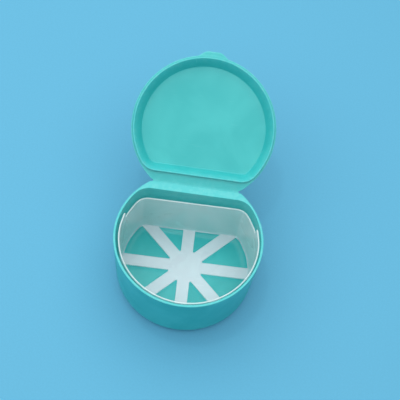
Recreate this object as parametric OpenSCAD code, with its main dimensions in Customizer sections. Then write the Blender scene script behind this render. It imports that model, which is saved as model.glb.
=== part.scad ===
// Denture case: a round cup and its lid, joined by a hinge film, with a lift-out strainer basket.
// Every size is in millimetres. The cup stands on z = 0, its round rim is centred on the Z axis
// and the hinge lies behind the cup, on the +Y side.

/* [Cup] */
// Outside radius of the round rim
rim_r = 42.5; // [39:0.5:48]
// Height of the rim above the table
cup_h = 42.3; // [36:0.5:55]
// Thickness of the side wall
wall_t = 1.3; // [1.1:0.1:1.8]
// Thickness of the floor
floor_t = 1.6; // [1.2:0.1:2.4]
// Distance from the middle to the flat back of the hollow
hollow_back = 28.4; // [26:0.2:29.4]
// Radius of the upright corners at both ends of that flat back
hollow_corner = 10.5; // [8:0.5:13]
// Lean of the side walls from the vertical, in degrees
draft = 2.9; // [1.5:0.1:3.5]
// Outside rounding between the wall and the floor
foot_round = 5.5; // [3.5:0.5:6]
// Inside rounding between the wall and the floor
hollow_round = 5.5; // [3:0.5:5.5]
// Thickness of the shelf that squares the rim off behind the hollow
shelf_t = 1.5; // [1.2:0.1:2.5]
// Bevel along the edges of the rim
rim_bevel = 0.35; // [0.2:0.05:0.5]

/* [Hinge] */
// Distance from the middle to the fold line
fold_y = 33.8; // [33:0.2:36]
// Thickness of the film that bends
film_t = 0.45; // [0.3:0.05:0.7]
// Length of the film from the cup's shelf to the lid's flange
film_len = 1.4; // [1:0.1:2]
// Angle that the lid stands open, where 0 is shut
lid_open = 149; // [95:1:175]

/* [Lid] */
// How far the lid's round edge stays inside the rim's
lid_inset = 0.4; // [0:0.1:1]
// Thickness of the lid's shell and flange
lid_t = 1.4; // [1.1:0.1:1.8]
// Depth of the lid's recess above its flange
recess_h = 5; // [4:0.5:9]
// Lean of the recess's side from the vertical, in degrees
recess_lean = 31.5; // [15:0.5:36]
// Rounding where the recess's side meets its ceiling
recess_round = 0.8; // [0.4:0.1:1.5]
// Rounding around the top of the lid
crown_round = 3; // [2:0.5:4]
// How far the plug ring reaches down into the cup
plug_h = 1.6; // [1.2:0.1:3]
// Thickness of the plug ring at its tip
plug_t = 0.75; // [0.6:0.05:1.2]
// Gap between the plug ring and the hollow's wall
plug_gap = 0.2; // [0.15:0.05:0.4]
// Gap between the shut lid's flange and the rim
seat_gap = 0.1; // [0.05:0.05:0.3]

/* [Thumb tab] */
// How far the tab stands out from the lid's edge
tab_reach = 2.4; // [1.5:0.1:5]
// Length of the tab's straight front edge
tab_w = 5; // [4:1:12]
// Rounding of the tab's two corners
tab_corner = 6; // [3:0.5:7]
// Radius of the hollow blends from the tab into the lid's edge
tab_blend = 9; // [4:0.5:10]
// Thickness of the tab
tab_t = 1; // [0.8:0.1:1.1]

/* [Basket] */
// Thickness of the basket's wall
basket_wall = 0.9; // [0.7:0.1:1.2]
// Thickness of the basket's floor
basket_floor = 1.2; // [0.9:0.1:1.8]
// Gap all round between the basket and the hollow's curved wall
side_gap = 0.95; // [0.85:0.05:1.5]
// Gap between the basket and the hollow's flat back
back_gap = 1.6; // [1.2:0.1:2.4]
// Radius of the basket's upright corners
basket_corner = 8.8; // [8:0.1:10]
// How much less the basket's walls lean than the hollow's, in degrees
upright = 0.4; // [0:0.1:0.5]
// Outside rounding between the basket's wall and its floor
basket_round = 2.5; // [2:0.1:2.8]
// Gap left where the basket's foot rests in the hollow's rounding
rest_gap = 0.05; // [0.03:0.01:0.1]
// Gap between the basket's high rim and the shut lid's plug ring
rim_gap = 0.35; // [0.3:0.05:1]
// Drop from the high rim to the low rim round the back
step_h = 5.7; // [3:0.1:9]
// Distance behind the middle at which the high rim ends
step_y = 11.5; // [6:0.5:16]
// Rounding at the foot of that step
step_round = 1; // [0.5:0.1:2]
// How far the loose basket stands to the right of the middle
basket_right = 0.3; // [0:0.05:0.35]
// How far it stands behind the middle
basket_behind = 0.3; // [0:0.05:0.35]
// How far it is turned, in degrees
basket_turn = 0.8; // [0:0.1:1]
// Number of spokes in the strainer floor
spoke_count = 8; // [6:2:10]
// Width of a spoke
spoke_w = 7.3; // [4:0.1:8]
// Radius of the closed hub
hub_r = 10.6; // [9:0.2:14]
// Width of the ledge between a window and the wall
ledge_w = 0.2; // [0.15:0.05:1]

/* [Hidden] */
$fn = 96;
reach = 2 * rim_r;
case_colour = [0.30, 0.78, 0.76];
basket_colour = [0.88, 0.93, 0.95];

// Step that keeps two curved faces from touching along a line
seam = 0.01;

// The wall ends inside the shelf, whose edge carries its outside face on up to the rim
wall_top = cup_h - shelf_t / 2;
wall_drawn_in = shelf_t / 2 * tan(draft) + seam;
wall_top_r = rim_r - wall_drawn_in;

// The hollow at the rim, and the planes that the other pieces line up with
hollow_r = rim_r - wall_t;
shelf_end = fold_y - film_len / 2;
lid_r = rim_r - lid_inset;
seat_z = cup_h + seat_gap;
plug_z = seat_z - plug_h;
crown_h = recess_h + lid_t;

// The plug ring fits the hollow, and the recess starts inside the ring
plug_r = hollow_r - plug_gap;
plug_back = hollow_back - plug_gap;
plug_corner = hollow_corner - plug_gap;
crown_in = plug_t + plug_h * tan(recess_lean) - lid_t / cos(recess_lean);

// The basket's rim ends under the plug ring
high_z = plug_z - rim_gap;
low_z = high_z - step_h;
drawn_in = (cup_h - high_z) * tan(draft);
basket_r = hollow_r - drawn_in - side_gap;
basket_back = hollow_back - drawn_in - back_gap;
basket_draft = draft - upright;

// Height at which the basket rests: its foot and the hollow's rounding are both round in section,
// and their centres lie apart by the difference of the two radii, less the gap. With the foot's
// centre nest_x + nest_lean * height out from the hollow's, that is a quadratic in the height
nest_lean = tan(basket_draft);
nest_x = basket_r - (high_z - basket_round) * nest_lean - basket_round / cos(basket_draft)
    + norm([basket_right, basket_behind])
    - (hollow_r - (cup_h - floor_t - hollow_round) * tan(draft) - hollow_round / cos(draft));
nest_z = floor_t + hollow_round - basket_round;
nest_span = hollow_round - basket_round - rest_gap;
nest_a = 1 + nest_lean * nest_lean;
nest_b = nest_z - nest_x * nest_lean;
nest_c = nest_x * nest_x + nest_z * nest_z - nest_span * nest_span;
stand_z = max(floor_t, (nest_b - sqrt(max(0, nest_b * nest_b - nest_a * nest_c))) / nest_a);
basket_h = high_z - stand_z;
window_in = basket_wall + (basket_h - basket_floor) * nest_lean + ledge_w;

// Points along a round stretch: centre c, radius r, from one angle to another
function arc(c, r, from, to, n) = [
    for (i = [0 : n]) c + r * [cos(from + (to - from) * i / n), sin(from + (to - from) * i / n)]
];

// Half outline of a vessel, from inside_x out to the side: radius r at height h, a side that
// leans out by lean degrees, a bottom edge rounded by edge and a mouth bevelled by flare
module half_outline(r, h, lean, edge, flare, inside_x = 0) {
    foot = r - (h - edge) * tan(lean) - edge / cos(lean);
    turn = edge > 0 ? arc([foot, edge], edge, -90, -lean, 8) : [[foot, 0]];
    mouth = flare > 0
        ? [[r - flare * tan(lean), h - flare], [r + flare, h], [r + flare, h + 1]]
        : [[r, h]];
    top = flare > 0 ? h + 1 : h;
    polygon(concat([[inside_x, 0]], turn, mouth, [[inside_x, top]]));
}

// Body whose plan is a circle of radius r with a flat back and two rounded corners: the half
// outline is turned round the middle and round both corners, and drawn straight along the back.
// The two corners stand a hair inside the other faces, so that every seam is a clean crossing
module d_body(r, back, corner, h, lean = 0, edge = 0, flare = 0) {
    ky = back - corner;
    kx = sqrt((r - corner) * (r - corner) - ky * ky);
    a = atan2(ky, kx);
    rotate(180 - a) rotate_extrude(angle = 180 + 2 * a) half_outline(r, h, lean, edge, flare);
    for (x = [-kx, kx]) translate([x, ky, 0])
        rotate_extrude() half_outline(corner - seam, h, lean, edge, flare);
    translate([-kx, ky, 0]) rotate([90, 0, 90])
        linear_extrude(2 * kx) half_outline(corner, h, lean, edge, flare, -1.5 * ky);
}

// Round plate with bevelled edges, squared off at the shelf's end
module squared_plate(r, t, lean, low_bevel, high_bevel) {
    foot = r - t * tan(lean);
    intersection() {
        rotate_extrude() polygon([
            [0, 0], [foot - low_bevel, 0], [foot, low_bevel],
            [r, t - high_bevel], [r - high_bevel, t], [0, t]
        ]);
        translate([-reach, shelf_end - 2 * reach, -1]) cube([2 * reach, 2 * reach, t + 2]);
    }
}

// Cup: drafted wall with a D-shaped hollow, under a round rim that runs back as a shelf
module cup() color(case_colour) difference() {
    union() {
        d_body(wall_top_r, hollow_back + wall_t - wall_drawn_in, hollow_corner + wall_t - wall_drawn_in,
            wall_top, draft, foot_round);
        translate([0, 0, cup_h - shelf_t]) squared_plate(rim_r, shelf_t, draft, 0, rim_bevel);
    }
    translate([0, 0, floor_t]) d_body(hollow_r, hollow_back, hollow_corner, cup_h - floor_t,
        draft, hollow_round, rim_bevel);
}

// Turns what is drawn shut round the fold line to where the lid stands
module opened() translate([0, fold_y, cup_h]) rotate([-lid_open, 0, 0])
    translate([0, -fold_y, -cup_h]) children();

// Hinge film: two short flats that meet in a round bend, whose inner side is the fold line
module living_hinge() {
    half_len = film_len / 2;
    half_w = sqrt(lid_r * lid_r - fold_y * fold_y);
    bend = 180 - lid_open;
    along = [cos(bend), sin(bend)];
    down = [sin(bend), -cos(bend)];
    color(case_colour) translate([-half_w, fold_y, cup_h]) rotate([90, 0, 90])
        linear_extrude(2 * half_w) polygon(concat(
            [[0, 0], [-half_len, 0], [-half_len, -film_t]],
            arc([0, 0], film_t, -90, bend - 90, 6),
            [half_len * along + film_t * down, half_len * along]
        ));
}

// Thumb tab, drawn on the lid's front edge: two round corners, and on each side a hollow blend
// that touches the corner and runs into the lid's edge
module thumb_tab() {
    corner = [tab_w / 2, lid_r + tab_reach - tab_corner];
    out = lid_r - rim_bevel / 2 + tab_blend;
    near = tab_corner + tab_blend;
    swing = atan2(corner[0], corner[1])
        + acos((corner * corner + out * out - near * near) / (2 * norm(corner) * out));
    blend = out * [sin(swing), cos(swing)];
    turn = atan2(blend[1] - corner[1], blend[0] - corner[0]);
    half = concat(
        arc(corner, tab_corner, 90, turn, 8),
        arc(blend, tab_blend, turn + 180, 270 - swing, 8),
        [[tab_w / 2, lid_r - tab_corner]]
    );
    other = [for (i = [len(half) - 1 : -1 : 0]) [-half[i][0], half[i][1]]];
    mirror([0, 1, 0]) linear_extrude(tab_t) polygon(concat(half, other));
}

// Lid, drawn shut and then turned open: flange with its tab, plug ring, sloping side and crown
module lid() opened() color(case_colour) difference() {
    union() {
        translate([0, 0, seat_z]) squared_plate(lid_r, lid_t, 0, rim_bevel, rim_bevel);
        translate([0, 0, seat_z + (lid_t - tab_t) / 2]) thumb_tab();
        translate([0, 0, plug_z]) d_body(plug_r, plug_back, plug_corner, plug_h, draft, rim_bevel);
        translate([0, 0, seat_z + crown_h]) mirror([0, 0, 1])
            d_body(plug_r - crown_in, plug_back - crown_in, plug_corner - crown_in, crown_h,
                recess_lean, crown_round);
    }
    translate([0, 0, seat_z + recess_h]) mirror([0, 0, 1])
        d_body(plug_r - plug_t, plug_back - plug_t, plug_corner - plug_t, plug_h + recess_h,
            recess_lean, recess_round, rim_bevel / 2);
}

// Windows of the strainer floor: what the spokes and the hub leave open
module windows() difference() {
    translate([0, 0, -1]) d_body(basket_r - window_in, basket_back - window_in,
        basket_corner - window_in, basket_floor + 2);
    for (i = [1 : spoke_count / 2]) rotate(i * 360 / spoke_count)
        cube([2 * reach, spoke_w, 2 * basket_floor + 6], center = true);
    translate([0, 0, -2]) cylinder(r = hub_r, h = basket_floor + 4);
}

// Side view of what is cut away above the low rim, with a rounding at the foot of the step
module step_cut() polygon(concat(
    arc([step_round, step_round], step_round, 180, 270, 6),
    [[reach, 0], [reach, 2 * step_h], [0, 2 * step_h]]
));

// Strainer basket: thin wall with a step in its rim, over a floor of spokes and windows
module strainer_basket() color(basket_colour)
    translate([basket_right, basket_behind, stand_z]) rotate(basket_turn) difference() {
        d_body(basket_r, basket_back, basket_corner, basket_h, basket_draft, basket_round);
        translate([0, 0, basket_floor]) d_body(basket_r - basket_wall, basket_back - basket_wall,
            basket_corner - basket_wall, basket_h - basket_floor, basket_draft, 0, rim_bevel / 2);
        translate([-reach, step_y, low_z - stand_z]) rotate([90, 0, 90])
            linear_extrude(2 * reach) step_cut();
        windows();
    }

cup();
living_hinge();
lid();
strainer_basket();
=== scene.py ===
import math
import bmesh
import bpy
import numpy as np
from mathutils import Matrix, Vector


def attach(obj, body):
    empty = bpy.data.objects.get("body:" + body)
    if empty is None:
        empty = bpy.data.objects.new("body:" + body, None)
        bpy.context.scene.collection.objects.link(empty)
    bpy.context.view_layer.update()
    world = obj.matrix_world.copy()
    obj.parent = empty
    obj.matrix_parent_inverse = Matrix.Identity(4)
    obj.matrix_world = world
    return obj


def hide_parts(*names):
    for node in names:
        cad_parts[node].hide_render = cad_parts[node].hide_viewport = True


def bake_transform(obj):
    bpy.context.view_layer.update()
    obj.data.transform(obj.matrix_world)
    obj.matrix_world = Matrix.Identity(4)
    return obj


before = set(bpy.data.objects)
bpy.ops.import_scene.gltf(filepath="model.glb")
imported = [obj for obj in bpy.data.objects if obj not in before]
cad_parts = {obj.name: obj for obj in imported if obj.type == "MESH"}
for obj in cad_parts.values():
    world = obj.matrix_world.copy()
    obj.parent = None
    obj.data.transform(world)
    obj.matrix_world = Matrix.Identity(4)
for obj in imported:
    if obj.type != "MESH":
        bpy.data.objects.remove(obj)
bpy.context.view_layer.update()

# Denture case: a cup, a lid that folds on a film of the same plastic, and a strainer basket
mm = 0.001              # sizes below are in millimetres, and the meshes are written in metres
mergeDistance = 1e-7    # metres
tinyEdge = 1e-8
sharpTurn = 38          # degrees: edges that turn by more than this stay sharp
straightHalf = 1.56     # radians: half a corner's angle past which its runs count as one
print("frame loaded")


# How far a wall that leans by so many degrees goes aside for each millimetre up
def lean(degrees):
    return math.tan(math.radians(degrees))


# A path of straight runs whose corners are turned by rounds: at each corner, both runs are cut
# back by round / tan(half the corner's angle), and an arc of that radius joins their ends.
def filletedPath(points, rounds, steps=6):
    path = [np.array(points[0], float)]
    for before, corner, after, radius in zip(points, points[1:], points[2:], rounds):
        corner = np.array(corner, float)
        p = np.array(before, float) - corner
        q = np.array(after, float) - corner
        p /= np.linalg.norm(p)
        q /= np.linalg.norm(q)
        half = 0.5 * math.acos(float(np.clip(p @ q, -1, 1)))
        if radius <= 0 or half > straightHalf:
            path.append(corner)
            continue
        middle = (p + q) / np.linalg.norm(p + q)
        centre = corner + middle * radius / math.sin(half)
        start = corner + p * radius / math.tan(half) - centre
        end = corner + q * radius / math.tan(half) - centre
        first = math.atan2(start[1], start[0])
        sweep = (math.atan2(end[1], end[0]) - first + math.pi) % (2 * math.pi) - math.pi
        for k in range(steps + 1):
            turn = first + sweep * k / steps
            path.append(centre + radius * np.array([math.cos(turn), math.sin(turn)]))
    path.append(np.array(points[-1], float))
    return np.array(path)


# The plan outline is a circle with a flat back and two round corners. A spot runs from 0 to 4
# anticlockwise: 0 to 1 the round front, 1 to 2 the right corner, 2 to 3 the flat, 3 to 4 the
# left corner. Each spot has a base point, an outward direction and a distance between the two,
# and an outline moved outward by u is base + direction * (distance + u).
class Plan:
    def __init__(self, radius, back, corner):
        self.radius, self.corner = radius, corner
        self.ky = back - corner
        self.kx = math.sqrt((radius - corner) ** 2 - self.ky ** 2)
        self.swing = math.atan2(self.ky, self.kx)

    def spotOfAngle(self, angle):
        return (angle - (math.pi - self.swing)) / (math.pi + 2 * self.swing)

    def stand(self, spots):
        spots = np.asarray(spots, float) % 4
        part = spots.astype(int)
        f = spots - part
        quarter = math.pi / 2 - self.swing
        angle = np.select(
            [part == 0, part == 1, part == 2],
            [math.pi - self.swing + f * (math.pi + 2 * self.swing),
             self.swing + f * quarter, 0 * f + math.pi / 2],
            math.pi / 2 + f * quarter)
        baseX = np.select([part == 0, part == 1, part == 2],
                          [0 * f, 0 * f + self.kx, self.kx * (1 - 2 * f)], 0 * f - self.kx)
        base = np.stack([baseX, np.where(part == 0, 0.0, self.ky)], 1)
        out = np.stack([np.cos(angle), np.sin(angle)], 1)
        return base, out, np.where(part == 0, self.radius, self.corner)


# Joins a grid of points, rows by columns, with quads; the columns close round. Rows that meet in
# one point are merged, and the normals are set outward. Marks are values kept at each point for
# the materials. Holes are cells left out, and extra holds further quads by point number.
def meshFromGrid(name, grid, marks, holes=None, extra=None):
    rows, columns = grid.shape[:2]
    index = np.arange(rows * columns).reshape(rows, columns)
    nextColumn = np.roll(index, -1, 1)
    quads = np.stack([index[:-1], nextColumn[:-1], nextColumn[1:], index[1:]], 2)
    keep = np.ones(quads.shape[:2], bool) if holes is None else ~holes
    faces = quads[keep]
    if extra is not None:
        faces = np.concatenate([faces, extra])
    mesh = bpy.data.meshes.new(name)
    mesh.from_pydata((grid.reshape(-1, 3) * mm).tolist(), [], faces.tolist())
    for label, values in marks.items():
        mark = mesh.attributes.new(label, "FLOAT", "POINT")
        mark.data.foreach_set("value", np.ascontiguousarray(values.reshape(-1), dtype=np.float32))
    work = bmesh.new()
    work.from_mesh(mesh)
    bmesh.ops.remove_doubles(work, verts=work.verts, dist=mergeDistance)
    bmesh.ops.dissolve_degenerate(work, edges=work.edges, dist=tinyEdge)
    loose = [v for v in work.verts if not v.link_faces]
    bmesh.ops.delete(work, geom=loose, context="VERTS")
    bmesh.ops.recalc_face_normals(work, faces=work.faces)
    openEdges = sum(1 for e in work.edges if len(e.link_faces) != 2)
    work.to_mesh(mesh)
    work.free()
    mesh.shade_smooth()
    mesh.set_sharp_from_angle(angle=math.radians(sharpTurn))
    piece = bpy.data.objects.new(name, mesh)
    bpy.context.scene.collection.objects.link(piece)
    flat = piece.modifiers.new("flatFaces", "WEIGHTED_NORMAL")
    flat.keep_sharp = True
    print("made", name, "with", len(mesh.polygons), "faces and", openEdges, "open edges")
    return piece


cup = {
    "rimRadius": 42.5,
    "height": 42.3,
    "wall": 1.3,
    "floor": 1.6,
    "hollowBack": 28.4,
    "hollowCorner": 10.5,
    "draft": 2.9,
    "footRound": 5.5,
    "hollowRound": 5.5,
    "shelf": 1.5,
    "shelfEnd": 33.1,
    "edgeRound": 0.35,
    "mouthRun": 0.55,       # how far the rim's top runs out from the hollow
    "tuck": 0.02,           # small step that keeps rings apart where they would fall together
    "hollowIn": 8.0,        # the flat of the hollow's floor starts this far inside its rim
    "underIn": 9.0,         # and the flat underneath this far: past hollowCorner, rings would fold
    "rimBand": 0.6,         # heights of the bands marked as edge at the rim and at the foot
    "footBand": 0.5,
    "gateRadius": 3.0,      # shallow dimple left by the mould's gate, under the floor
    "gateDepth": 0.25,
}

caseColumns = {
    "front": 121,           # round the front, with more of them near the thumb tab
    "tab": 49,
    "tabSpread": 16,        # degrees to each side of the middle
    "corner": (13, 4),      # up to the rim's square end, and past it
    "flat": 13,
}

# Columns that the cup and the lid share: fine round the thumb tab, and with a column at each end
# of the rim's square edge
casePlan = Plan(cup["rimRadius"] - cup["wall"], cup["hollowBack"], cup["hollowCorner"])
shelfX = math.sqrt(cup["rimRadius"] ** 2 - cup["shelfEnd"] ** 2)
shelfTurn = math.atan2(cup["shelfEnd"] - casePlan.ky, shelfX - casePlan.kx)
frontAngles = np.unique(np.round(np.concatenate([
    np.linspace(math.pi - casePlan.swing, 2 * math.pi + casePlan.swing, caseColumns["front"]),
    math.radians(270)
    + math.radians(caseColumns["tabSpread"]) * np.linspace(-1, 1, caseColumns["tab"])]), 7))
cornerPart = (shelfTurn - casePlan.swing) / (math.pi / 2 - casePlan.swing)
cornerSpots = np.concatenate([np.linspace(0, cornerPart, caseColumns["corner"][0])[1:],
                              np.linspace(cornerPart, 1, caseColumns["corner"][1])[1:]])
caseSpots = np.concatenate([
    np.clip(casePlan.spotOfAngle(frontAngles), 0, 1 - 1e-9),
    1 + cornerSpots[:-1], [2.0], 2 + np.linspace(0, 1, caseColumns["flat"])[1:-1], [3.0],
    3 + 1 - cornerSpots[::-1][1:]])
caseBase, caseOut, caseReach = casePlan.stand(caseSpots)


# One mark for each row, spread over the row's points
def rowMarks(marks, grid):
    return np.repeat(np.array(marks)[:, None], grid.shape[1], 1)


# Ring of the plan outline, moved outward by u from the hollow's rim, at height z
def dRing(u, z):
    flatPoints = caseBase + caseOut * (caseReach + u)[:, None]
    return np.column_stack([flatPoints, np.full(len(caseSpots), float(z))])


# Ring of the round rim with its square end: each column runs on from its base point until it
# meets the circle of that radius or the end line, whichever comes first
def rimRing(radius, endLine, z):
    radius = np.broadcast_to(radius, (len(caseSpots),))
    along = (caseBase * caseOut).sum(1)
    toCircle = -along + np.sqrt(along ** 2 - (caseBase ** 2).sum(1) + radius ** 2)
    headsBack = caseOut[:, 1] > 0.2
    rising = np.where(headsBack, caseOut[:, 1], 1.0)
    toLine = np.where(headsBack, (endLine - caseBase[:, 1]) / rising, np.inf)
    flatPoints = caseBase + caseOut * np.minimum(toCircle, toLine)[:, None]
    return np.column_stack([flatPoints, np.broadcast_to(z, (len(caseSpots),))])


# Rings that carry an outline on to the middle: it shrinks evenly, and the last rings are round,
# so that a small round dimple can sit in the middle
def middleRings(ring, z, dimpleRadius=0.0, dimpleRise=0.0):
    flatPoints = ring[:, :2]
    away = flatPoints / np.linalg.norm(flatPoints, axis=1)[:, None]
    rings = []
    for share in (0.8, 0.6, 0.42, 0.26):
        rings.append((flatPoints * share, z))
    if dimpleRadius > 0:
        # Radius and rise of each ring, as shares of the dimple's
        for radius, rise in ((1.25, 0.0), (1.06, 0.04), (0.97, 0.5), (0.88, 0.97), (0.75, 1.0),
                             (0.3, 1.0), (0.24, 0.72), (0.16, 0.6)):
            rings.append((away * radius * dimpleRadius, z + rise * dimpleRise))
        rings.append((away * 0, z + 0.55 * dimpleRise))
    else:
        rings += [(flatPoints * 0.12, z), (away * 0, z)]
    return [np.column_stack([p, np.full(len(p), h)]) for p, h in rings]


# The cup's rows run from the middle of its floor up the hollow, over the rim and the shelf's end,
# down the outside and under to the middle. Edge marks go from 0 on plain faces to 1 on the rim;
# they steer the rubbing and the painted glow that makes thin edges paler.
def makeCup():
    rimR, high, soft = cup["rimRadius"], cup["height"], cup["edgeRound"]
    t = lean(cup["draft"])
    inner = filletedPath(
        [(-cup["hollowIn"], cup["floor"]), (-(high - cup["floor"]) * t, cup["floor"]),
         (0, high), (cup["mouthRun"], high)],
        [cup["hollowRound"], soft], 10)
    rows = middleRings(dRing(-cup["hollowIn"], 0), cup["floor"])[::-1]
    edge = [0.0] * len(rows)
    for u, z in inner:
        rows.append(dRing(u, z))
        edge.append(1.0 if z > high - cup["rimBand"] else 0.0)
    for share in np.linspace(0, 1, 6):
        turn = share * math.pi / 2
        inset = soft * (1 - math.sin(turn))
        drop = soft * (1 - math.cos(turn))
        end = cup["shelfEnd"] - cup["tuck"] * inset
        rows.append(rimRing(rimR - inset - drop * t, end, high - drop))
        edge.append(1.0)
    for drop, mark in ((1.0, 0.35), (cup["shelf"], 0.25)):
        rows.append(rimRing(rimR - drop * t, cup["shelfEnd"], high - drop))
        edge.append(mark)
    wallOut = cup["wall"] - cup["tuck"]
    outer = filletedPath(
        [(wallOut - cup["shelf"] * t, high - cup["shelf"]), (wallOut - high * t, 0),
         (-cup["underIn"], 0)],
        [cup["footRound"]], 10)
    rows.append(dRing(*outer[0]))
    edge.append(0.1)
    for share in (0.04, 0.35, 0.7):
        u, z = outer[0] + (outer[1] - outer[0]) * share
        rows.append(dRing(u, z))
        edge.append(0.0)
    for u, z in outer[1:]:
        rows.append(dRing(u, z))
        edge.append(0.3 if z < cup["footBand"] and u > 1 - cup["underIn"] else 0.0)
    rows += middleRings(dRing(-cup["underIn"], 0), 0.0, cup["gateRadius"], cup["gateDepth"])
    edge += [0.0] * (len(rows) - len(edge))
    grid = np.array(rows)
    return meshFromGrid("cupShell", grid, {"edge": rowMarks(edge, grid)})


# edgeMark: the film's edge mark, which steers rubbing and the painted glow that makes thin plastic paler
film = {"foldY": 33.8, "foldZ": 42.3, "thick": 0.45, "length": 1.4, "halfWidth": 25.1, "edgeMark": 0.6}


# The film's upper face runs from the shelf's end through the fold to the flange's end: at
# distance s from the fold it lies at s * (cos, sin) of the bend so far, which grows smoothly from
# 0 to the whole angle, and the lower face lies one thickness below along that face's normal.
def makeFilm():
    half = film["length"] / 2
    s = np.linspace(-half, half, 13)
    share = (s + half) / film["length"]
    bend = math.radians(180 - lid["openAngle"]) * share * share * (3 - 2 * share)
    upper = np.stack([s * np.cos(bend), s * np.sin(bend)], 1)
    lower = upper + film["thick"] * np.stack([np.sin(bend), -np.cos(bend)], 1)
    section = np.concatenate([upper, lower[::-1]])
    flatSection = np.concatenate([(upper + lower) / 2, ((upper + lower) / 2)[::-1]])
    width = film["halfWidth"]
    across = np.concatenate([[-width], np.linspace(-width, width, 25), [width]])
    grid = np.zeros((len(across), len(section), 3))
    grid[:, :, 0] = across[:, None]
    grid[:, :, 1] = film["foldY"] + section[None, :, 0]
    grid[:, :, 2] = film["foldZ"] + section[None, :, 1]
    for end in (0, -1):
        grid[end, :, 1] = film["foldY"] + flatSection[:, 0]
        grid[end, :, 2] = film["foldZ"] + flatSection[:, 1]
    return meshFromGrid("hingeFilm", grid, {"edge": np.full(grid.shape[:2], film["edgeMark"])})


lid = {
    "radius": 42.1,
    "seat": 42.4,           # height of the flange's underside when the lid is shut
    "thick": 1.4,
    "recess": 5.0,
    "recessLean": 31.5,
    "recessRound": 0.8,
    "crownRound": 3.0,
    "crownFootRound": 0.4,
    "crownBand": 1.2,       # height of the band marked as edge round the crown
    "plateIn": 9.0,         # the flats start this far inside: past hollowCorner, rings would fold
    "gateRadius": 2.2,      # shallow dimple left by the mould's gate, on the crown
    "gateDepth": 0.2,
    "flangeIn": 0.8,        # the flange's rings start this far inside its edge
    "plugDeep": 1.6,
    "plugThick": 0.75,
    "plugGap": 0.2,
    "plugRounds": (0.2, 0.25, 0.12),    # at its tip's inner and outer edge, and at its root
    "plugBand": 0.4,        # height of the band marked as edge round its tip
    "rootRun": 0.05,        # how far D-shaped rings run out on the flange's underside
    "tabReach": 2.4,
    "tabWidth": 5.0,
    "tabCorner": 6.0,
    "tabBlend": 9.0,
    "tabThick": 1.0,
    "tabSqueeze": (0.25, 0.6),      # it thins from this far inside the round edge, over this length
    "openAngle": 149.0,
}


# Distance of the tab's outline from the middle, for angles away from the front: a straight front
# edge, a round corner, and a hollow round that runs into the lid's edge. Elsewhere it is the
# lid's own radius.
def tabOutline(angles):
    corner = np.array([lid["tabWidth"] / 2, lid["radius"] + lid["tabReach"] - lid["tabCorner"]])
    out = lid["radius"] - cup["edgeRound"] / 2 + lid["tabBlend"]
    near = lid["tabCorner"] + lid["tabBlend"]
    cornerTurn = math.atan2(corner[0], corner[1])
    swing = cornerTurn + math.acos((corner @ corner + out * out - near * near)
                                   / (2 * np.linalg.norm(corner) * out))
    blend = out * np.array([math.sin(swing), math.cos(swing)])
    turn = math.atan2(blend[1] - corner[1], blend[0] - corner[0])
    first = np.linspace(math.pi / 2, turn, 40)
    second = np.linspace(turn + math.pi, 1.5 * math.pi - swing, 40)
    points = np.concatenate([
        [[0, lid["radius"] + lid["tabReach"]]],
        corner + lid["tabCorner"] * np.stack([np.cos(first), np.sin(first)], 1),
        blend + lid["tabBlend"] * np.stack([np.cos(second), np.sin(second)], 1)])
    away = np.arctan2(points[:, 0], points[:, 1])
    far = np.linalg.norm(points, axis=1)
    order = np.argsort(away)
    reach = np.interp(np.abs(angles), away[order], far[order], right=0)
    return np.maximum(reach, lid["radius"])


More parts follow.
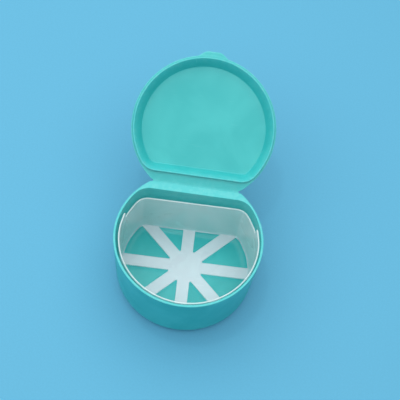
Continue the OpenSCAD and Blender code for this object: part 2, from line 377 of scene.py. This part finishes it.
# The lid's rows run from the middle of the recess's plate down its side, round the plug ring,
# over the flange with its tab, and up the crown to the middle
def makeLid():
    t = lean(cup["draft"])
    slope = lean(lid["recessLean"])
    soft = cup["edgeRound"]
    thick, recess, deep = lid["thick"], lid["recess"], lid["plugDeep"]
    tip = -lid["plugGap"] - lid["plugThick"]
    inner = filletedPath(
        [(-lid["plateIn"], recess), (tip - (deep + recess) * slope, recess), (tip, -deep),
         (-lid["plugGap"] - deep * t, -deep), (-lid["plugGap"], 0), (lid["rootRun"], 0)],
        [lid["recessRound"], *lid["plugRounds"]], 6)
    rows = middleRings(dRing(-lid["plateIn"], 0), recess)[::-1]
    # marks are edge marks: they steer rubbing and the painted glow that makes thin edges paler
    marks = [0.0] * len(rows)
    for u, z in inner:
        rows.append(dRing(u, z))
        marks.append(0.8 if z < -deep + lid["plugBand"] else 0.0)
    front = np.where(caseSpots < 1, np.arctan2(caseOut[:, 0], -caseOut[:, 1]), math.pi)
    edge = tabOutline(front)
    middle = thick / 2
    squeezeFrom, squeezeOver = lid["tabSqueeze"]

    # One ring of the flange: level is the height above its underside, and past the lid's round
    # edge the tab is squeezed towards the middle of the thickness
    def flangeRing(radius, line, level):
        radius = np.broadcast_to(radius, edge.shape)
        squeeze = np.clip((radius - lid["radius"] + squeezeFrom) / squeezeOver, 0, 1)
        squeeze = squeeze * squeeze * (3 - 2 * squeeze)
        share = 1 - squeeze * (1 - lid["tabThick"] / thick)
        return rimRing(radius, line, middle + (level - middle) * share)

    start = lid["radius"] - lid["flangeIn"]
    spans = (0.0, 0.12, 0.25, 0.4, 0.6, 0.8)
    line = cup["shelfEnd"]
    turns = np.linspace(0, 1, 7) * math.pi / 2
    for share in spans:
        rows.append(flangeRing(start + share * (edge - soft - start), line - cup["tuck"], 0.0))
        marks.append(0.45)
    for turn in turns:
        out = edge - soft * (1 - math.sin(turn))
        rows.append(flangeRing(out, line, soft * (1 - math.cos(turn))))
        marks.append(1.0)
    for turn in turns:
        out = edge - soft * (1 - math.cos(turn))
        rows.append(flangeRing(out, line, thick - soft * (1 - math.sin(turn))))
        marks.append(1.0)
    for share in spans[::-1]:
        rows.append(flangeRing(start + share * (edge - soft - start), line - cup["tuck"], thick))
        marks.append(0.4)
    crownIn = (lid["plugThick"] + deep * slope
               - thick / math.cos(math.radians(lid["recessLean"])))
    crownFoot = -lid["plugGap"] - crownIn
    top = recess + thick
    crown = filletedPath(
        [(0.0, thick), (crownFoot - thick * slope, thick), (crownFoot - top * slope, top),
         (-lid["plateIn"], top)],
        [lid["crownFootRound"], lid["crownRound"]], 8)
    for u, z in crown:
        rows.append(dRing(u, z))
        marks.append(0.25 if z > top - lid["crownBand"] and u > 1 - lid["plateIn"] else 0.0)
    rows += middleRings(dRing(-lid["plateIn"], 0), top, lid["gateRadius"], -lid["gateDepth"])
    marks += [0.0] * (len(rows) - len(marks))
    grid = np.array(rows)
    grid[:, :, 2] += lid["seat"]

    # The lid is worked out shut, and turned open round the fold line
    turn = -math.radians(lid["openAngle"])
    y = grid[:, :, 1] - film["foldY"]
    z = grid[:, :, 2] - film["foldZ"]
    grid[:, :, 1] = film["foldY"] + y * math.cos(turn) - z * math.sin(turn)
    grid[:, :, 2] = film["foldZ"] + y * math.sin(turn) + z * math.cos(turn)
    return meshFromGrid("lidShell", grid, {"edge": rowMarks(marks, grid)})


basket = {
    "radius": 40.156,
    "back": 26.706,
    "corner": 8.8,
    "height": 37.133,
    "wall": 0.9,
    "floor": 1.2,
    "footRound": 2.5,
    "draft": 2.5,
    "stand": 3.317,         # height at which it rests on the rounding of the cup's hollow
    "right": 0.3,           # how far it stands off the middle, and how far it is turned
    "behind": 0.3,
    "turn": 0.8,
    "stepDrop": 5.7,
    "stepY": 11.5,
    "stepRound": 1.0,
    "stepTopRound": 0.35,
    "stepLean": 0.12,       # half of how far the drop leans back
    "stepEnds": (2.0, 3.2),     # its level runs end this far before and behind the step
    "stepIn": 0.7,          # the wall's middle lies this far inside the outline at the step
    "stepSide": 20.0,       # columns farther out than this, or farther back, follow the step
    "belowStep": 3.0,       # the wall's rows are level from this far below the low rim
    "hubDimple": 0.18,      # depth of the mould's mark under the hub
    "dimpleRadius": 1.0,
    "hubRows": (9.4, 8, 6, 4, 2.2, 1.1, 0.9, 0.5),      # radii of the rings across the hub
    "innerRound": 0.16,     # between the wall and the floor's upper face
    "spokes": 8,
    "spokeWidth": 7.3,
    "hub": 10.6,
    "windowIn": 2.669,
    "softEdge": 0.3,
    "softTurns": (0, 30, 60, 90),   # degrees round a soft edge at which it has a ring
    "spokeColumns": 6,
    "fanColumns": 13,
}
basketPlan = Plan(basket["radius"], basket["back"], basket["corner"])


# Path of the basket's rim past its step, seen from the side: level at the high rim, a rounded
# drop, a hollow round at its foot, level at the low rim. Columns are (y, height, normal y,
# normal z), half a wall's thickness below the top.
def stepPath():
    halfWall = basket["wall"] / 2
    high = basket["height"] - halfWall
    low = high - basket["stepDrop"]
    y, tilt = basket["stepY"], basket["stepLean"]
    before, behind = basket["stepEnds"]
    points = filletedPath(
        [(y - before, high), (y - halfWall - tilt, high), (y - halfWall + tilt, low),
         (y + behind, low)],
        [basket["stepTopRound"], basket["stepRound"] + halfWall], 8)
    slope = np.gradient(points, axis=0)
    slope /= np.linalg.norm(slope, axis=1)[:, None]
    return np.column_stack([points, -slope[:, 1], slope[:, 0]])


# Columns of the basket: across each spoke they are parallel to its middle line, and between the
# spokes they fan out, so that every window edge lies along a column or a row. Columns through the
# rim's steps are added. Each has its spot on the outline, its point on the hub, whether the cell
# after it is a window, and its distance from the spoke's edge.
def basketColumns(step):
    half = basket["spokeWidth"] / 2
    hub = basket["hub"]
    soft = basket["softEdge"]
    fine = np.linspace(0, 4, 16001)[:-1]    # the outline in small steps, to look spots up in
    base, out, reach = basketPlan.stand(fine)
    ring = base + out * (reach - basket["windowIn"])[:, None]
    rim = soft * (1 - np.cos(np.radians(basket["softTurns"])))
    flat = np.linspace(-half + soft, half - soft, basket["spokeColumns"])[1:-1]
    crossways = np.concatenate([-half + rim, flat, half - rim[::-1]])
    stepAngles = np.arcsin(step[:, 0] / (basket["radius"] - basket["stepIn"]))
    extra = {0: np.sort(basketPlan.spotOfAngle(2 * math.pi + stepAngles)),
             3: np.sort(4 + basketPlan.spotOfAngle(math.pi - stepAngles))}
    spots, hubs, inWindow, edgeAway = [], [], [], []
    count = basket["spokes"]
    edges = []
    for k in range(count):
        angle = 2 * math.pi * k / count
        axis = np.array([math.cos(angle), math.sin(angle)])
        side = np.array([-math.sin(angle), math.cos(angle)])
        across, along = ring @ side, ring @ axis
        near = (along > 5) & (np.abs(across) < half + 2)    # the ring's part at this spoke's end
        order = np.argsort(across[near])
        spot = np.interp(crossways, across[near][order], fine[near][order]) + (4 if k >= count / 2 else 0)
        hubPoint = axis * np.sqrt(hub ** 2 - crossways ** 2)[:, None] + side * crossways[:, None]
        edges.append((spot, hubPoint))
    for k in range(count):
        spot, hubPoint = edges[k]
        nextSpot, nextHub = edges[(k + 1) % count]
        lastSpot = nextSpot[0] + (4 if k == count - 1 else 0)
        spots.append(spot)
        hubs.append(hubPoint)
        inWindow.append(np.arange(len(spot)) == len(spot) - 1)
        edgeAway.append(half - np.abs(crossways))
        between = np.linspace(spot[-1], lastSpot, basket["fanColumns"])[1:-1]
        if k in extra:
            between = np.sort(np.concatenate([between, extra[k]]))
            tight = np.concatenate([[True], np.diff(between) > 1e-5])
            between = between[tight]
        first = math.atan2(hubPoint[-1][1], hubPoint[-1][0])
        last = math.atan2(nextHub[0][1], nextHub[0][0])
        last += 2 * math.pi if last < first else 0
        turn = first + (last - first) * (between - spot[-1]) / (lastSpot - spot[-1])
        spots.append(between)
        hubs.append(hub * np.stack([np.cos(turn), np.sin(turn)], 1))
        inWindow.append(np.ones(len(between), bool))
        edgeAway.append(np.full(len(between), np.inf))
    return (np.concatenate(spots), np.concatenate(hubs), np.concatenate(inWindow),
            np.concatenate(edgeAway))


# How far a rounded edge lies below the flat at a distance d from that edge
def softDrop(d):
    soft = basket["softEdge"]
    d = np.clip(d, 0, soft)
    return soft - np.sqrt(np.maximum(0, soft ** 2 - (soft - d) ** 2))


# The basket's rows run from the middle of the underside out, up the wall, over the rim and back
# along the floor. Its marks are edge, and milk: how much plastic lies behind a spot, from 0 in
# the thin wall through 0.5 in the floor to 1 along the rim.
def makeBasket():
    step = stepPath()
    spots, hubPoints, inWindow, edgeAway = basketColumns(step)
    base, out, reach = basketPlan.stand(spots)
    t = lean(basket["draft"])
    high, wall, thick = basket["height"], basket["wall"], basket["floor"]
    hub, count = basket["hub"], basket["spokes"]
    soft, foot = basket["softEdge"], basket["footRound"]
    dimple, innerRound = basket["hubDimple"], basket["innerRound"]
    columns = len(spots)
    rows, edge, milk = [], [], []

    def add(flatPoints, z, edgeMark=0.0, milkMark=0.0):
        rows.append(np.column_stack([flatPoints, np.broadcast_to(z, (columns,))]))
        edge.append(np.broadcast_to(edgeMark, (columns,)).astype(float))
        milk.append(np.broadcast_to(milkMark, (columns,)).astype(float))

    def outline(u):
        return base + out * (reach + u)[:, None]

    # Edge mark of a face that drops away at a rounded edge
    def worn(drop):
        return np.where(drop > 0.02, 0.7, 0)

    # Inside the hub the distance to the nearest window is that to the short arc at its tip
    tipHalf = math.pi / count - math.asin(basket["spokeWidth"] / 2 / hub)

    def hubRing(radius):
        flatPoints = hubPoints * radius / hub
        turn = np.arctan2(hubPoints[:, 1], hubPoints[:, 0])
        aside = np.abs((turn % (2 * math.pi / count)) - math.pi / count) - tipHalf
        aside = np.maximum(aside, 0)
        d = np.sqrt(radius ** 2 + hub ** 2 - 2 * radius * hub * np.cos(aside))
        return flatPoints, softDrop(d)

    hubRadii = [hub - soft * (1 - math.cos(math.radians(a))) for a in basket["softTurns"]]
    hubRadii += basket["hubRows"]
    outerPoints = outline(-basket["windowIn"])
    alongShares = np.array([0, 0.04, 0.12, 0.3, 0.5, 0.7, 0.85, 0.945, 0.962, 0.98, 1.0])
    footCentre = -(high - foot) * t - foot / math.cos(math.radians(basket["draft"]))

    # How far the floor is down along a spoke's soft sides, which end at the windows' outer edge
    def sideDrop(share):
        return softDrop(edgeAway) * (1 - share ** 12)

    # Underside, from the middle of the hub to the windows' outer edge
    add(hubPoints * 0, dimple, 0, 0.5)
    for radius in hubRadii[::-1]:
        flatPoints, drop = hubRing(radius)
        add(flatPoints, drop + (dimple if radius < basket["dimpleRadius"] else 0), worn(drop), 0.5)
    underHub = len(rows) - 1
    wornSide = worn(softDrop(edgeAway))
    for share in alongShares[1:]:
        flatPoints = hubPoints + (outerPoints - hubPoints) * share
        past = np.clip(((flatPoints - base) * out).sum(1) - reach - footCentre, 0, foot)
        rise = foot - np.sqrt(foot ** 2 - past ** 2)
        add(flatPoints, rise + sideDrop(share), wornSide, 0.5)
    underRing = len(rows) - 1

    # Outside of the wall
    ringTurn = math.acos((-basket["windowIn"] - footCentre) / foot)
    for share in np.linspace(0, 1, 7)[1:]:
        turn = -ringTurn + (ringTurn - math.radians(basket["draft"])) * share
        add(outline(footCentre + foot * math.cos(turn)), foot * (1 + math.sin(turn)), 0, 0.5 - 0.4 * share)
    footTop = foot * (1 - math.sin(math.radians(basket["draft"])))
    common = high - basket["stepDrop"] - basket["belowStep"]
    radial = outline(-basket["stepIn"])
    outside = (np.abs(radial[:, 0]) > basket["stepSide"]) | (radial[:, 1] > basket["stepSide"])
    beside = np.where(outside, radial[:, 1], 0)
    level = np.interp(beside, step[:, 0], step[:, 1])
    leanY = np.interp(beside, step[:, 0], step[:, 2])
    leanZ = np.interp(beside, step[:, 0], step[:, 3])

    # A row of the wall on its way from the common height to each column's own rim
    def wallRow(inset, share):
        z = common + (level - common) * share
        atRim = share == 1
        flatPoints = outline(-inset) - out * ((high - z) * t)[:, None]
        add(flatPoints, z, 0.5 if atRim else 0, 0.6 if atRim else 0)

    for share in (0.33, 0.66, 1.0):
        z = footTop + (common - footTop) * share
        add(outline(-(high - z) * t), z)
    for share in (0.3, 0.65, 0.9, 1.0):
        wallRow(0, share)

    # Half round rim: it bulges along the rim path's own normal, also past the step
    along = np.column_stack([-out[:, 1], out[:, 0]]) * np.sign(out[:, 0])[:, None]
    for turn in np.linspace(0, math.pi, 9)[1:-1]:
        u = -(high - level) * t - wall / 2 + wall / 2 * math.cos(turn)
        bulge = wall / 2 * math.sin(turn)
        flatPoints = outline(0) + out * u[:, None] + along * (bulge * leanY)[:, None]
        add(flatPoints, level + bulge * leanZ, 1, 1)

    # Inside of the wall, down to the floor
    for share in (1.0, 0.9, 0.65, 0.3, 0.0):
        wallRow(wall, share)
    for share in (0.66, 0.33, 0.02):
        z = thick + innerRound + (common - thick - innerRound) * share
        add(outline(-wall - (high - z) * t), z)
    insideFoot = -wall - (high - thick) * t
    for turn in np.radians([15, 45, 75]):
        add(outline(insideFoot - innerRound * (1 - math.cos(turn)) + innerRound * 0.08),
            thick + innerRound * (1 - math.sin(turn)), 0.3, 0.6)

    # Upper face of the floor, back to the middle of the hub
    topRing = len(rows)
    for share in alongShares[:0:-1]:
        flatPoints = hubPoints + (outerPoints - hubPoints) * share
        add(flatPoints, thick - sideDrop(share), wornSide, 0.5)
    topHub = len(rows)
    for radius in hubRadii:
        flatPoints, drop = hubRing(radius)
        add(flatPoints, thick - drop, worn(drop), 0.5)
    add(hubPoints * 0, thick, 0, 0.5)

    # The finished grid is turned and moved to where the loose basket stands
    grid = np.array(rows)
    turn = math.radians(basket["turn"])
    x, y = grid[:, :, 0].copy(), grid[:, :, 1].copy()
    grid[:, :, 0] = x * math.cos(turn) - y * math.sin(turn) + basket["right"]
    grid[:, :, 1] = x * math.sin(turn) + y * math.cos(turn) + basket["behind"]
    grid[:, :, 2] += basket["stand"]
    holes = np.zeros((len(rows) - 1, columns), bool)
    holes[underHub:underRing, inWindow] = True
    holes[topRing:topHub, inWindow] = True

    # Sides of the windows: along both spokes, round the hub's tip and along the outer edge
    cell = np.arange(len(rows) * columns).reshape(len(rows), columns)
    cellNext = np.roll(cell, -1, 1)
    isEdge = inWindow ^ np.roll(inWindow, 1)
    low = cell[underHub:underRing + 1][:, isEdge]
    top = cell[topRing:topHub + 1][::-1][:, isEdge]
    alongSpokes = np.stack([low[:-1], low[1:], top[1:], top[:-1]], 2).reshape(-1, 4)
    tips = np.stack([cell[underHub], cellNext[underHub], cellNext[topHub], cell[topHub]], 1)[inWindow]
    ends = np.stack([cell[underRing], cellNext[underRing], cellNext[topRing], cell[topRing]], 1)[inWindow]
    extra = np.concatenate([alongSpokes, tips, ends])
    marks = {"edge": np.array(edge), "milk": np.array(milk)}
    return meshFromGrid("basketShell", grid, marks, holes, extra)


# A shader node group with its sockets: (name, kind, default) in and (name, kind) out
def newGroup(name, inputs, outputs):
    group = bpy.data.node_groups.new(name, "ShaderNodeTree")
    for label, kind, value in inputs:
        socket = group.interface.new_socket(name=label, in_out="INPUT", socket_type=kind)
        if value is not None:
            socket.default_value = value
    for label, kind in outputs:
        group.interface.new_socket(name=label, in_out="OUTPUT", socket_type=kind)
    start = group.nodes.new("NodeGroupInput")
    end = group.nodes.new("NodeGroupOutput")
    return group, start, end


# A few shortcuts for building node trees
class Nodes:
    def __init__(self, tree):
        self.tree = tree

    def put(self, kind, links=None, **settings):
        node = self.tree.nodes.new(kind)
        for key, value in settings.items():
            setattr(node, key, value)
        for socket, value in (links or {}).items():
            if isinstance(value, bpy.types.NodeSocket):
                self.tree.links.new(value, node.inputs[socket])
            else:
                node.inputs[socket].default_value = value
        return node

    def calc(self, kind, a, b, clamp=False):
        node = self.put("ShaderNodeMath", {0: a, 1: b}, operation=kind)
        node.use_clamp = clamp
        return node.outputs[0]

    def range(self, value, fromLow, fromHigh, low=0.0, high=1.0):
        node = self.put("ShaderNodeMapRange", {"Value": value, "From Min": fromLow, "From Max": fromHigh,
                                               "To Min": low, "To Max": high})
        node.interpolation_type = "SMOOTHSTEP"
        return node.outputs["Result"]

    def mix(self, factor, a, b):
        node = self.put("ShaderNodeMix", data_type="RGBA", blend_type="MIX")
        for socket, value in zip((node.inputs[0], node.inputs[6], node.inputs[7]), (factor, a, b)):
            if isinstance(value, bpy.types.NodeSocket):
                self.tree.links.new(value, socket)
            else:
                socket.default_value = value
        return node.outputs[2]


skinLook = {
    "grainScale": 2600.0,
    "flowScale": 40.0,
    "waveScale": 22.0,
    "grainDeep": 0.35,      # how much grain and waviness add to the bump's height
    "waveDeep": 1.6,
}


# Moulded skin: fine spark-eroded grain, broad flow clouds and a gentle waviness of the wall
def mouldedSkin():
    group, start, end = newGroup(
        "mouldedSkin",
        [("Position", "NodeSocketVector", None),
         ("Grain Scale", "NodeSocketFloat", skinLook["grainScale"]),
         ("Flow Scale", "NodeSocketFloat", skinLook["flowScale"])],
        [("Height", "NodeSocketFloat"), ("Cloud", "NodeSocketFloat")])
    n = Nodes(group)
    position = start.outputs["Position"]
    grain = n.put("ShaderNodeTexNoise", {"Vector": position, "Scale": start.outputs["Grain Scale"],
                                         "Detail": 2.0, "Roughness": 0.6}).outputs[0]
    flow = n.put("ShaderNodeTexNoise", {"Vector": position, "Scale": start.outputs["Flow Scale"],
                                        "Detail": 3.0, "Roughness": 0.5, "Distortion": 0.4}).outputs[0]
    links = {"Vector": position, "Scale": skinLook["waveScale"], "Detail": 1.0}
    wave = n.put("ShaderNodeTexNoise", links).outputs[0]
    deepGrain = n.calc("MULTIPLY", grain, skinLook["grainDeep"])
    height = n.calc("ADD", deepGrain, n.calc("MULTIPLY", wave, skinLook["waveDeep"]))
    group.links.new(height, end.inputs["Height"])
    group.links.new(n.range(flow, 0.3, 0.7), end.inputs["Cloud"])
    return group


# Each pair of values is where a noise starts to count and where it counts in full
wearLook = {
    "hairs": (((0.3, 0.2, 0.5), (90, 2600, 90)), ((0.1, -0.4, -0.9), (70, 2100, 70))),
    "hairRange": (0.70, 0.76),
    "patchScale": 60.0,
    "patchRange": (0.5, 0.62),
    "dustScale": 420.0,
    "dustSize": (0.12, 0.05),
    "dustRange": (0.93, 0.96),
    "rubScale": 340.0,
    "rubRange": (0.42, 0.66),
}


# Marks of use: hairline scratches in two directions, sparse dust specks, and rubbing on edges
def handledMarks():
    group, start, end = newGroup(
        "handledMarks",
        [("Position", "NodeSocketVector", None), ("Edge", "NodeSocketFloat", 0.0)],
        [("Scratch", "NodeSocketFloat"), ("Dust", "NodeSocketFloat"), ("Rub", "NodeSocketFloat")])
    n = Nodes(group)
    position = start.outputs["Position"]
    hairs = []
    for turn, size in wearLook["hairs"]:
        links = {"Vector": position, "Rotation": turn, "Scale": size}
        turned = n.put("ShaderNodeMapping", links).outputs[0]
        hair = n.put("ShaderNodeTexNoise", {"Vector": turned, "Scale": 1.0, "Detail": 1.0}).outputs[0]
        hairs.append(n.range(hair, *wearLook["hairRange"]))
    links = {"Vector": position, "Scale": wearLook["patchScale"], "Detail": 1.0}
    patch = n.range(n.put("ShaderNodeTexNoise", links).outputs[0], *wearLook["patchRange"])
    scratch = n.calc("MULTIPLY", n.calc("MAXIMUM", hairs[0], hairs[1]), patch)
    cells = n.put("ShaderNodeTexVoronoi", {"Vector": position, "Scale": wearLook["dustScale"]})
    bright = n.put("ShaderNodeSeparateColor", {"Color": cells.outputs["Color"]}).outputs[0]
    speck = n.calc("MULTIPLY", n.range(cells.outputs["Distance"], *wearLook["dustSize"]),
                  n.range(bright, *wearLook["dustRange"]))
    links = {"Vector": position, "Scale": wearLook["rubScale"], "Detail": 3.0}
    rubNoise = n.put("ShaderNodeTexNoise", links).outputs[0]
    rub = n.calc("MULTIPLY", start.outputs["Edge"], n.range(rubNoise, *wearLook["rubRange"]))
    group.links.new(scratch, end.inputs["Scratch"])
    group.links.new(speck, end.inputs["Dust"])
    group.links.new(rub, end.inputs["Rub"])
    return group


skinGroup = mouldedSkin()
marksGroup = handledMarks()
print("shader groups built")


# A material with its shader, the edge mark and both shared groups in place
def newMaterial(name):
    material = bpy.data.materials.new(name)
    material.use_nodes = True
    tree = material.node_tree
    tree.nodes.clear()
    n = Nodes(tree)
    shader = n.put("ShaderNodeBsdfPrincipled")
    n.put("ShaderNodeOutputMaterial", {"Surface": shader.outputs[0]})
    position = n.put("ShaderNodeTexCoord").outputs["Object"]
    edge = n.put("ShaderNodeAttribute", attribute_name="edge").outputs["Fac"]
    skin = n.put("ShaderNodeGroup", node_tree=skinGroup)
    tree.links.new(position, skin.inputs["Position"])
    marks = n.put("ShaderNodeGroup", node_tree=marksGroup)
    tree.links.new(position, marks.inputs["Position"])
    tree.links.new(edge, marks.inputs["Edge"])
    return material, n, shader, edge, skin.outputs, marks.outputs


# What both plastics have in common: roughness that varies, the bump and the shader's plain values
def finishSurface(n, shader, skin, marks, look):
    rough = n.range(skin["Cloud"], 0.0, 1.0, *look["roughness"])
    rough = n.calc("ADD", rough, n.calc("MULTIPLY", marks["Rub"], look["rubRough"]))
    rough = n.calc("ADD", rough, n.calc("MULTIPLY", marks["Scratch"], look["scratchRough"]), True)
    n.tree.links.new(rough, shader.inputs["Roughness"])
    height = n.calc("SUBTRACT", skin["Height"], n.calc("MULTIPLY", marks["Scratch"], look["scratchDeep"]))
    links = {"Height": height, "Strength": look["bump"], "Distance": look["bumpDistance"]}
    bump = n.put("ShaderNodeBump", links)
    n.tree.links.new(bump.outputs[0], shader.inputs["Normal"])
    for label, value in look["shader"].items():
        shader.inputs[label].default_value = value


casePlastic = {
    "colour": (0.040, 0.530, 0.534, 1),
    "deep": (0.025, 0.468, 0.476, 1),      # where the flow clouds are thick
    # painted glow: this colour for thin edges stands in for light shining through the plastic
    "thin": (0.075, 0.585, 0.597, 1),      # at thin edges, where light comes through
    "rubbed": (0.30, 0.76, 0.74, 1),
    "dust": (0.62, 0.78, 0.78, 1),
    "rub": 0.16,            # how strongly rubbing, scratches and dust change the colour
    "scratch": 0.15,
    "dusty": 0.25,
    "roughness": (0.36, 0.46),
    "rubRough": 0.14,
    "scratchRough": 0.12,
    "scratchDeep": 0.3,
    "bump": 0.14,
    "bumpDistance": 0.0002,     # metres
    "shader": {"IOR": 1.49, "Subsurface Weight": 0.12, "Subsurface Radius": (0.6, 1.0, 1.0),
               "Subsurface Scale": 0.0012, "Specular IOR Level": 0.46, "Coat Weight": 0.17,
               "Coat Roughness": 0.10},
}


# Satin coloured plastic: slightly uneven colour, edges painted paler as a painted glow of light shining
# through thin plastic, rubbed rims and faint scratches
def makeCasePlastic():
    material, n, shader, edge, skin, marks = newMaterial("casePlastic")
    look = casePlastic
    body = n.mix(skin["Cloud"], look["colour"], look["deep"])
    # painted glow: where the edge mark is high the colour turns paler, standing in for light shining
    # through thin plastic
    paler = n.mix(n.range(edge, 0.2, 1.0), body, look["thin"])
    rubbed = n.mix(n.calc("MULTIPLY", marks["Rub"], look["rub"]), paler, look["rubbed"])
    marked = n.mix(n.calc("MULTIPLY", marks["Scratch"], look["scratch"]), rubbed, look["rubbed"])
    dusty = n.mix(n.calc("MULTIPLY", marks["Dust"], look["dusty"]), marked, look["dust"])
    n.tree.links.new(dusty, shader.inputs["Base Color"])
    finishSurface(n, shader, skin, marks, look)
    return material


basketPlastic = {
    "wall": (0.84, 0.98, 0.99, 1),
    "floor": (0.95, 0.90, 0.98, 1),
    "cloudy": (0.76, 0.93, 0.98, 1),      # where the flow clouds are thick
    "rim": (0.90, 0.98, 0.99, 1),
    "dust": (0.66, 0.72, 0.75, 1),
    "clouds": 0.3,          # how strongly flow clouds and dust change the colour
    "dusty": 0.25,
    "cover": (0.57, 0.43, 0.66),    # how much one face hides: thin wall, floor, rim
    "cloudCover": (-0.02, 0.03),    # what flow clouds take from that or add to it
    "scratchCover": 0.06,
    "shade": 0.15,          # share of the cover that holds light back: milky plastic passes the rest on
    "roughness": (0.26, 0.36),
    "rubRough": 0.12,
    "scratchRough": 0.10,
    "scratchDeep": 0.2,
    "bump": 0.07,
    "bumpDistance": 0.0002,
    "shader": {"IOR": 1.49, "Coat Weight": 0.45, "Coat Roughness": 0.06},
}


# Milky clear plastic: the more plastic lies behind a spot, the more it hides what is below. To
# shadow rays and bounced light it is much clearer, as it scatters light on more than it stops it.
def makeBasketPlastic():
    material, n, shader, edge, skin, marks = newMaterial("basketPlastic")
    look = basketPlastic
    milk = n.put("ShaderNodeAttribute", attribute_name="milk").outputs["Fac"]
    body = n.mix(n.range(milk, 0.0, 0.5), look["wall"], look["floor"])
    body = n.mix(n.calc("MULTIPLY", skin["Cloud"], look["clouds"]), body, look["cloudy"])
    whiter = n.mix(n.range(edge, 0.3, 1.0), body, look["rim"])
    dusty = n.mix(n.calc("MULTIPLY", marks["Dust"], look["dusty"]), whiter, look["dust"])
    n.tree.links.new(dusty, shader.inputs["Base Color"])
    thin, floor, rim = look["cover"]
    cover = n.range(milk, 0.0, 0.5, thin, floor)
    cover = n.calc("ADD", cover, n.range(milk, 0.5, 1.0, 0.0, rim - floor))
    cover = n.calc("ADD", cover, n.range(skin["Cloud"], 0.0, 1.0, *look["cloudCover"]))
    cover = n.calc("ADD", cover, n.calc("MULTIPLY", marks["Scratch"], look["scratchCover"]), True)
    path = n.put("ShaderNodeLightPath").outputs
    unseen = n.calc("MAXIMUM", path["Is Shadow Ray"], path["Is Diffuse Ray"])
    cover = n.calc("MULTIPLY", cover, n.range(unseen, 0.0, 1.0, 1.0, look["shade"]))
    n.tree.links.new(cover, shader.inputs["Alpha"])
    finishSurface(n, shader, skin, marks, look)
    return material


caseMaterial = makeCasePlastic()
basketMaterial = makeBasketPlastic()
print("materials built")

cupShell = makeCup()
lidShell = makeLid()
hingeFilm = makeFilm()
basketShell = makeBasket()
for piece, material, slot in ((cupShell, caseMaterial, "case_plastic"),
                              (lidShell, caseMaterial, "case_plastic"),
                              (hingeFilm, caseMaterial, "case_plastic"),
                              (basketShell, basketMaterial, "basket_plastic")):
    piece.data.materials.append(material)
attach(cupShell, "cup")
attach(lidShell, "lid")
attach(basketShell, "basket")
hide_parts("cup")
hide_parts("lid")
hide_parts("strainer_basket")
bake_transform(hingeFilm)
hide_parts("living_hinge")
print("pieces placed")

studio = {
    "floor": (0.109, 0.430, 0.641, 1),
    "floorReach": 3.0,          # metres from the middle to each side
    "floorRoughness": 0.75,
    "fibreScale": 900.0,        # fine paper fibre, and how much paler its light parts are
    "fibreTone": 1.03,
    "world": (0.90, 0.96, 1.0, 1),
    "worldStrength": 0.48,
    # angles in degrees, lengths in millimetres
    "camera": {"azimuth": -1.0, "elevation": 60.41, "roll": 8.78, "distance": 571.64,
               "right": 4.397, "up": 6.44, "target": (0, 17, 42.26), "lens": 90.0, "sensor": 36},
    # position, target, diameter, power and colour of each lamp, in metres and watts
    "lamps": {
        "softboxTop": ((-0.10, 0.10, 0.70), (0, 0.02, 0.03), 1.60, 7.7, (1.0, 0.99, 0.98)),
        "bulbTop": ((-0.12, 0.06, 0.85), (0, 0.02, 0.03), 0.03, 0.32, (1.0, 0.99, 0.98)),
    },
}


def makeFloor():
    mesh = bpy.data.meshes.new("studioFloor")
    far = studio["floorReach"]
    corners = [(-far, -far, 0), (far, -far, 0), (far, far, 0), (-far, far, 0)]
    mesh.from_pydata(corners, [], [(0, 1, 2, 3)])
    floor = bpy.data.objects.new("studioFloor", mesh)
    bpy.context.scene.collection.objects.link(floor)
    material = bpy.data.materials.new("floorPaper")
    material.use_nodes = True
    n = Nodes(material.node_tree)
    shader = material.node_tree.nodes["Principled BSDF"]
    position = n.put("ShaderNodeTexCoord").outputs["Object"]
    links = {"Vector": position, "Scale": studio["fibreScale"], "Detail": 2.0}
    fibre = n.put("ShaderNodeTexNoise", links).outputs[0]
    tone = studio["floor"]
    paler = tuple(min(1, c * studio["fibreTone"]) for c in tone[:3]) + (1,)
    n.tree.links.new(n.mix(n.range(fibre, 0.35, 0.65), tone, paler), shader.inputs["Base Color"])
    shader.inputs["Roughness"].default_value = studio["floorRoughness"]
    mesh.materials.append(material)


def makeLamps():
    for name, (place, target, size, power, colour) in studio["lamps"].items():
        lamp = bpy.data.lights.new(name, "AREA")
        lamp.shape = "DISK"
        lamp.size = size
        lamp.energy = power
        lamp.color = colour
        holder = bpy.data.objects.new(name, lamp)
        holder.location = place
        holder.rotation_euler = (Vector(target) - Vector(place)).to_track_quat("-Z", "Y").to_euler()
        bpy.context.scene.collection.objects.link(holder)
    world = bpy.data.worlds.new("studioWorld")
    world.use_nodes = True
    sky = world.node_tree.nodes["Background"]
    sky.inputs["Color"].default_value = studio["world"]
    sky.inputs["Strength"].default_value = studio["worldStrength"]
    bpy.context.scene.world = world


# The camera looks back along the line from the target, is rolled about it and then shifted
def makeCamera():
    view = studio["camera"]
    azimuth, elevation, roll = (math.radians(view[k]) for k in ("azimuth", "elevation", "roll"))
    back = Vector((math.sin(azimuth) * math.cos(elevation), -math.cos(azimuth) * math.cos(elevation),
                   math.sin(elevation)))
    right = Vector((math.cos(azimuth), math.sin(azimuth), 0))
    up = back.cross(right)
    rightRolled = right * math.cos(roll) + up * math.sin(roll)
    upRolled = up * math.cos(roll) - right * math.sin(roll)
    place = Vector(view["target"]) + back * view["distance"]
    place += rightRolled * view["right"] + upRolled * view["up"]
    data = bpy.data.cameras.new("studioCamera")
    data.lens = view["lens"]
    data.sensor_width = view["sensor"]
    holder = bpy.data.objects.new("studioCamera", data)
    turn = Matrix((rightRolled, upRolled, back)).transposed().to_4x4()
    holder.matrix_world = Matrix.Translation(place * mm) @ turn
    bpy.context.scene.collection.objects.link(holder)
    bpy.context.scene.camera = holder


makeFloor()
makeLamps()
makeCamera()
bpy.context.scene.view_settings.view_transform = "Standard"
print("studio ready")
